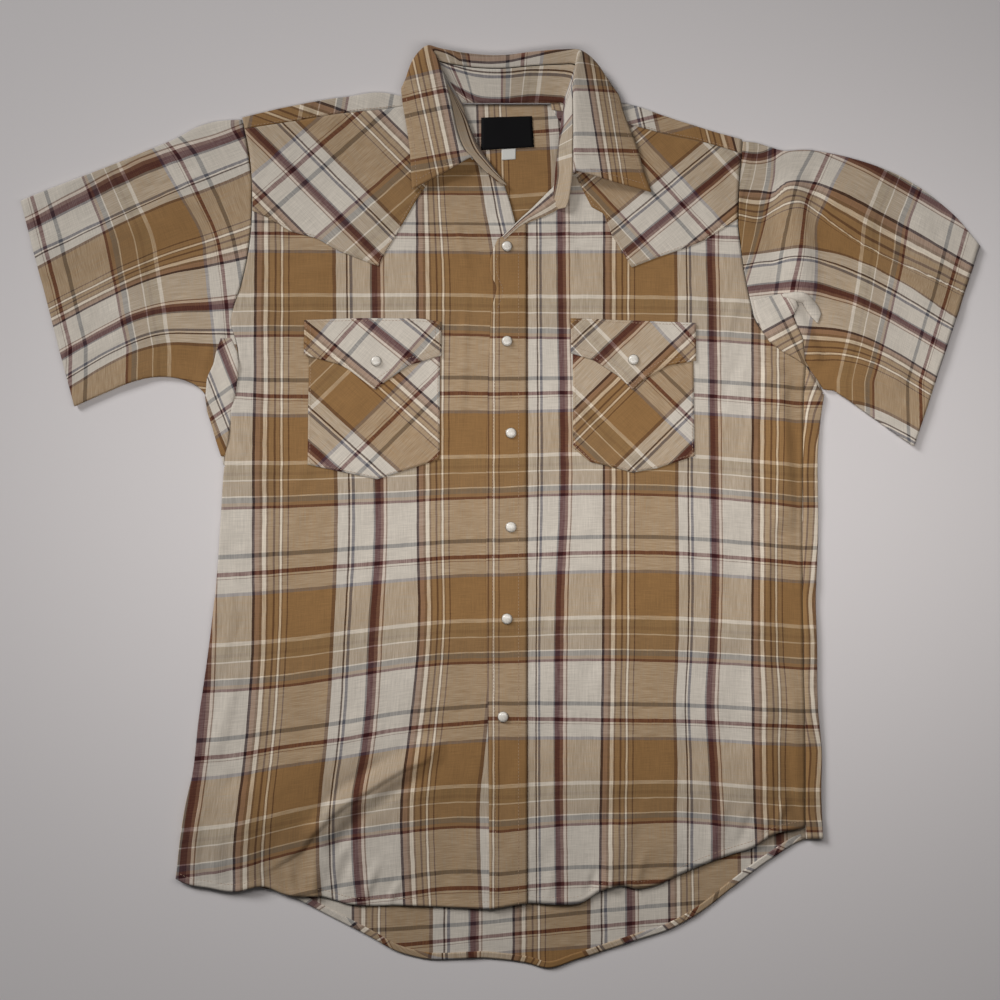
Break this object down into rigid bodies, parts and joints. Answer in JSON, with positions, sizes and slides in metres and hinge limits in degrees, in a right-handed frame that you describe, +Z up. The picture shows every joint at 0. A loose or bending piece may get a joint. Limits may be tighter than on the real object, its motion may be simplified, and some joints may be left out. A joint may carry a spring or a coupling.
{
  "type": "western snap shirt",
  "caption": "Short-sleeved plaid western snap shirt with pointed yokes, flap pockets and a placket, laid flat with the front closed.",
  "frame": {"origin": "on the ground under the middle of the laid-out shirt", "axes": "+X to the wearer's left sleeve, +Y from hem to collar, +Z up off the ground"},
  "size_m": [0.8596, 0.8045, 0.0161],
  "materials": {
    "plaid_fronts": "matte woven cotton, plaid",
    "plaid_body": "matte woven cotton, plaid",
    "plaid_yokes": "matte woven cotton, plaid on the bias",
    "plaid_pockets": "matte woven cotton, plaid on the bias",
    "plaid_placket": "matte woven cotton, plaid, topstitched",
    "plaid_sleeves": "matte woven cotton, plaid",
    "plaid_collar": "matte woven cotton, plaid, topstitched",
    "label_cloth": "matte black woven label, bare",
    "white_tape": "matte white tape, bare",
    "pearl_snap": "pearl cap in a metal ring"
  },
  "bodies": {
    "root": {"back": "plaid_body", "back_yoke": "plaid_body", "collar": "plaid_collar", "collar_stand": "plaid_collar", "front_snap_1": "pearl_snap", "front_snap_2": "pearl_snap", "front_snap_3": "pearl_snap", "front_snap_4": "pearl_snap", "front_snap_5": "pearl_snap", "front_snap_6": "pearl_snap", "left_flap": "plaid_pockets", "left_flap_snap": "pearl_snap", "left_front": "plaid_fronts", "left_front_yoke": "plaid_yokes", "left_pocket": "plaid_pockets", "left_sleeve": "plaid_sleeves", "neck_label": "label_cloth", "placket": "plaid_placket", "right_flap": "plaid_pockets", "right_flap_snap": "pearl_snap", "right_front": "plaid_fronts", "right_front_yoke": "plaid_yokes", "right_pocket": "plaid_pockets", "right_sleeve": "plaid_sleeves", "size_tab": "white_tape"}
  },
  "joints": []
}
